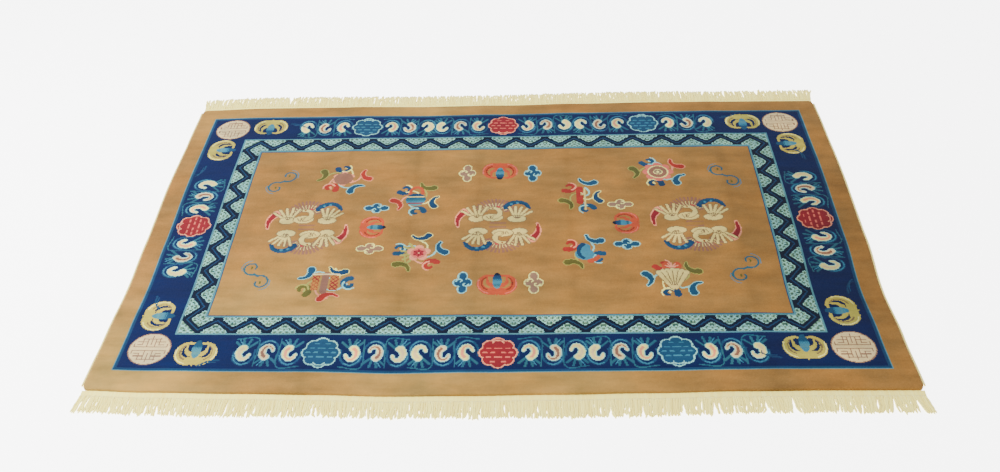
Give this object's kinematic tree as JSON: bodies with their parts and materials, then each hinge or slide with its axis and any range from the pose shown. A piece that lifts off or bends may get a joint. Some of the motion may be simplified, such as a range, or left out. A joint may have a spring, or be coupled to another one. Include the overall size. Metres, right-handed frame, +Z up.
{
  "type": "chinese rug",
  "caption": "Long hand-knotted wool pile rug with figured field and borders, a fringed web along each long edge and overcast sides; lies flat on a floor.",
  "frame": {"origin": "on the floor, under the centre of the rug's box, fringes and side cords included", "axes": "+X along the long edges, +Y across the rug towards the edge that lies far from the viewer, +Z up out of the pile"},
  "size_m": [2.7668, 1.9132, 0.0144],
  "materials": {
    "wool_pile": "cut wool pile, sheared",
    "cotton_fringe": "woven and twisted cotton",
    "side_cord": "overcast wool"
  },
  "bodies": {
    "root": {"rug_body": "wool_pile", "fringe_near": "cotton_fringe", "fringe_far": "cotton_fringe", "side_binding_left": "side_cord", "side_binding_right": "side_cord"}
  },
  "joints": []
}
